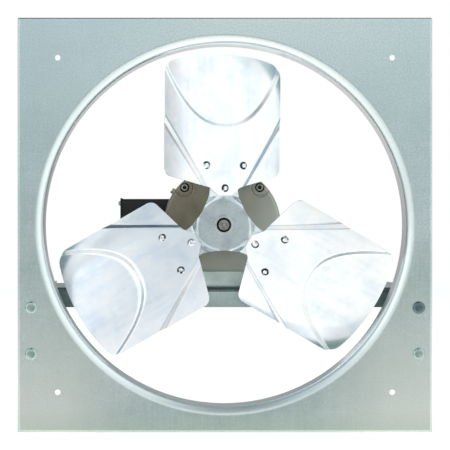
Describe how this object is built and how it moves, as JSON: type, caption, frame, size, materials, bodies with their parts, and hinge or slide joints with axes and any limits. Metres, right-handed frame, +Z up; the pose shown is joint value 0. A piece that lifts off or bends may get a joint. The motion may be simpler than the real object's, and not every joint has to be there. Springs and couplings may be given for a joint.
{
  "type": "panel exhaust fan",
  "caption": "Square sheet-metal panel with a round venturi, a pitched propeller behind it, and a direct-drive motor carried on a shelf between two arms.",
  "frame": {"origin": "on the fan axis, in the plane of the panel front face that seats on the wall", "axes": "+Y along the fan axis from the panel to the motor, +Z up, +X to the right as seen from the front"},
  "size_m": [0.4826, 0.2422, 0.4826],
  "materials": {
    "galvanised_steel": "galvanised sheet, fine spangle, semi-matt",
    "zinc_plated_steel": "bright zinc plating",
    "motor_base_paint": "grey-green satin paint",
    "shell_paint": "tan-grey satin paint",
    "shield_paint": "tan-grey satin paint",
    "core_steel": "dark laminated steel",
    "copper": "varnished copper wire",
    "ground_steel": "ground steel",
    "black_plastic": "black moulded",
    "capacitor_can": "plain drawn can",
    "green_screw": "pale green plating",
    "dark_steel": "black oxide",
    "spider_steel": "plated steel, satin",
    "blade_aluminium": "bright rolled sheet",
    "rivet_aluminium": "bright"
  },
  "bodies": {
    "frame": {"panel": "galvanised_steel", "left_arm": "galvanised_steel", "right_arm": "galvanised_steel", "motor_shelf": "galvanised_steel", "panel_bolt_left_upper": "zinc_plated_steel", "panel_bolt_left_lower": "zinc_plated_steel", "panel_bolt_right_upper": "zinc_plated_steel", "panel_bolt_right_lower": "zinc_plated_steel", "panel_nut_left_upper": "zinc_plated_steel", "panel_nut_left_lower": "zinc_plated_steel", "panel_nut_right_upper": "zinc_plated_steel", "panel_nut_right_lower": "zinc_plated_steel", "shelf_bolt_left_front": "zinc_plated_steel", "shelf_bolt_left_rear": "zinc_plated_steel", "shelf_bolt_right_front": "zinc_plated_steel", "shelf_bolt_right_rear": "zinc_plated_steel", "shelf_nut_left_front": "zinc_plated_steel", "shelf_nut_left_rear": "zinc_plated_steel", "shelf_nut_right_front": "zinc_plated_steel", "shelf_nut_right_rear": "zinc_plated_steel", "base_bolt_left_front": "zinc_plated_steel", "base_bolt_left_rear": "zinc_plated_steel", "base_bolt_right_front": "zinc_plated_steel", "base_bolt_right_rear": "zinc_plated_steel", "through_bolt_upper_left": "zinc_plated_steel", "through_bolt_upper_right": "zinc_plated_steel", "through_bolt_lower_left": "zinc_plated_steel", "through_bolt_lower_right": "zinc_plated_steel", "cover_screw_upper": "zinc_plated_steel", "cover_screw_lower": "zinc_plated_steel", "motor_base": "motor_base_paint", "motor_shell": "shell_paint", "front_shield": "shield_paint", "rear_shield": "shield_paint", "stator_core": "core_steel", "stator_winding": "copper", "front_bearing": "ground_steel", "rear_bearing": "ground_steel", "terminal_box": "black_plastic", "terminal_box_cover": "black_plastic", "run_capacitor": "capacitor_can", "ground_screw": "green_screw"},
    "propeller": {"shaft": "ground_steel", "rotor": "core_steel", "hub": "ground_steel", "set_screw": "dark_steel", "spider": "spider_steel", "blade_1": "blade_aluminium", "blade_2": "blade_aluminium", "blade_3": "blade_aluminium", "rivet_1_inner": "rivet_aluminium", "rivet_1_outer_left": "rivet_aluminium", "rivet_1_outer_right": "rivet_aluminium", "rivet_2_inner": "rivet_aluminium", "rivet_2_outer_left": "rivet_aluminium", "rivet_2_outer_right": "rivet_aluminium", "rivet_3_inner": "rivet_aluminium", "rivet_3_outer_left": "rivet_aluminium", "rivet_3_outer_right": "rivet_aluminium"}
  },
  "joints": [
    {"name": "propeller_spin", "type": "hinge", "parent": "frame", "child": "propeller", "pos_m": [0, 0.042, 0], "axis": [0, 1, 0], "continuous": true}
  ]
}
